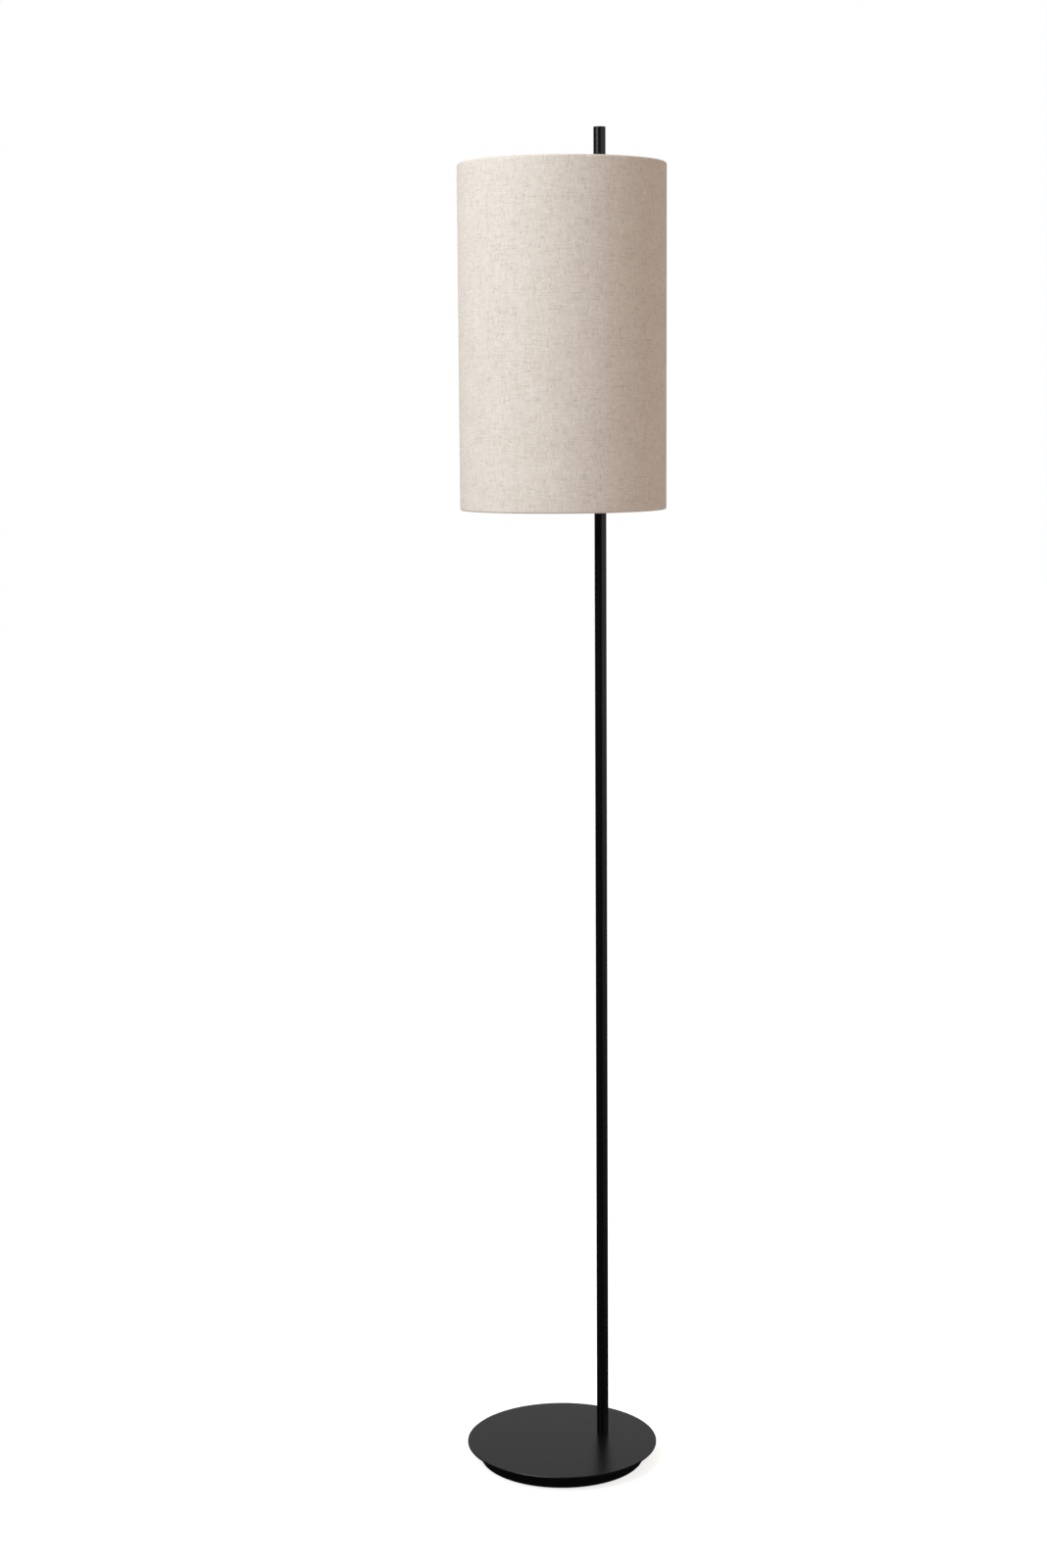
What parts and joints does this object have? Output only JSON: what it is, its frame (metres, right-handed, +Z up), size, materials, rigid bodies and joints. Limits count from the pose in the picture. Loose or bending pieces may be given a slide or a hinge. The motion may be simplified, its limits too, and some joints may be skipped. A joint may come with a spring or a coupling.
{
  "type": "floor lamp",
  "caption": "Column floor lamp: a slim black pole stands off centre on a round plate base, and a tall linen drum shade hangs round the pole's upper end.",
  "frame": {"origin": "on the floor, under the axis that shade and lamp holder share; the axis of the base lies 7.5 mm from it towards -X", "axes": "+Z up; the pole stands on +X; the supply cord enters the skirt on +X; the picture was taken from -Y, about 25 degrees towards -X"},
  "size_m": [0.244, 0.241, 1.6],
  "materials": {
    "black_coat": "satin black powder coat with a very fine texture",
    "felt": "dense dark felt",
    "zinc_steel": "bright zinc plate",
    "black_screw": "black oxide",
    "cast_iron": "rough grey iron",
    "black_plastic": "moulded, fine matt",
    "nylon": "natural nylon",
    "fibre": "vulcanised fibre",
    "block_plastic": "moulded thermoset",
    "brass": "bright stamped brass",
    "flex_sheath": "smooth flexible sheath",
    "bulb_metal": "rolled bright cap",
    "solder": "dull solder",
    "bulb_glass": "clear glass",
    "stem_glass": "drawn glass",
    "phosphor": "yellow phosphor coat",
    "linen": "natural linen weave with darker slubs",
    "liner": "smooth white film",
    "white_coat": "white epoxy coat"
  },
  "bodies": {
    "root": {"foot_pad": "felt", "bottom_cover": "black_coat", "cover_screws": "zinc_steel", "ballast": "cast_iron", "ballast_nuts": "zinc_steel", "weld_studs": "zinc_steel", "base_skirt": "black_coat", "base_plate": "black_coat", "cord_gland": "black_plastic", "cord_grip": "nylon", "grip_screws": "zinc_steel", "foot_nut": "zinc_steel", "foot_washer": "zinc_steel", "foot_stud": "zinc_steel", "foot_insert": "zinc_steel", "lower_tube": "black_coat", "lower_spigot": "zinc_steel", "middle_tube": "black_coat", "upper_spigot": "zinc_steel", "upper_tube": "black_coat", "top_plug": "black_coat", "inner_flex": "flex_sheath", "arm_collar": "black_coat", "grub_screws": "black_screw", "arm_tube": "black_coat", "arm_hub": "black_coat", "holder_nipple": "zinc_steel", "fibre_washer": "fibre", "holder_cap": "black_plastic", "holder_block": "block_plastic", "centre_contact": "brass", "thread_sleeve": "brass", "holder_shell": "black_plastic", "seat_ring": "black_plastic"},
    "shade": {"shade_cloth": "linen", "shade_liner": "liner", "top_hoop": "white_coat", "bottom_hoop": "white_coat", "spider_arms": "white_coat", "spider_ring": "white_coat"},
    "ring_nut": {"ring_nut": "black_plastic"},
    "bulb_contact": {"bulb_contact": "solder"},
    "bulb": {"bulb_cap": "bulb_metal", "bulb_glass": "bulb_glass", "bulb_stem": "stem_glass", "light_strips": "phosphor"}
  },
  "joints": [
    {"name": "shade_lift", "type": "slide", "parent": "root", "child": "shade", "axis": [0, 0, 1], "range_m": [0, 0.45]},
    {"name": "ring_nut_turn", "type": "hinge", "parent": "shade", "child": "ring_nut", "pos_m": [0, 0, 1.2655], "axis": [0, 0, 1], "range_deg": [0, 1440]},
    {"name": "bulb_travel", "type": "slide", "parent": "root", "child": "bulb_contact", "axis": [0, 0, 1], "range_m": [0, 0.0218]},
    {"name": "bulb_turn", "type": "hinge", "parent": "bulb_contact", "child": "bulb", "pos_m": [0, 0, 1.2687], "axis": [0, 0, 1], "range_deg": [0, 2160]}
  ],
  "couplings": [
    {"joint": "bulb_travel", "follows": "bulb_turn", "m_per_rad": 0.00057757}
  ]
}
